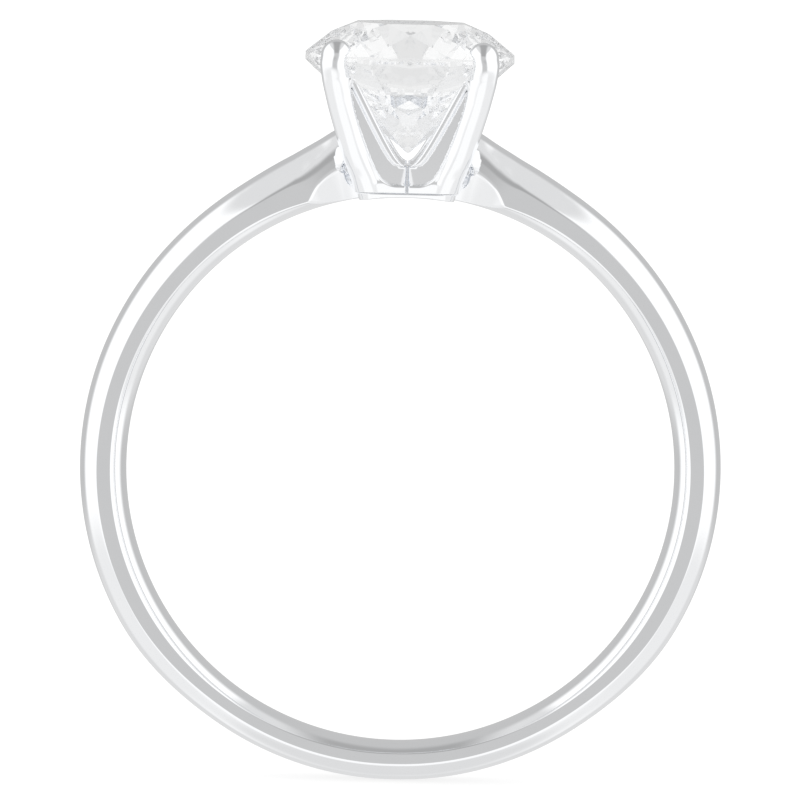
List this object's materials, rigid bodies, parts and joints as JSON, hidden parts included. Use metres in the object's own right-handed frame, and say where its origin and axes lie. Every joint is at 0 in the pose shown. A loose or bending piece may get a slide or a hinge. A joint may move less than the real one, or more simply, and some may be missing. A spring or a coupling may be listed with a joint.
{
  "type": "engagement ring",
  "caption": "Solitaire ring: a comfort-fit hoop with rising shoulders and an open claw head that holds a round brilliant-cut stone.",
  "frame": {"origin": "centre of the finger hole, half way along the finger", "axes": "+Z from the finger to the stone, +Y along the finger, +X to the right seen along +Y"},
  "size_m": [0.02, 0.0066, 0.0237],
  "materials": {
    "white_gold": "high polish",
    "diamond": "clear, facet-polished"
  },
  "bodies": {
    "root": {"shank": "white_gold", "shoulder_left": "white_gold", "shoulder_right": "white_gold", "head_base": "white_gold", "claw_front_left": "white_gold", "claw_front_right": "white_gold", "claw_back_left": "white_gold", "claw_back_right": "white_gold", "diamond": "diamond"}
  },
  "joints": []
}
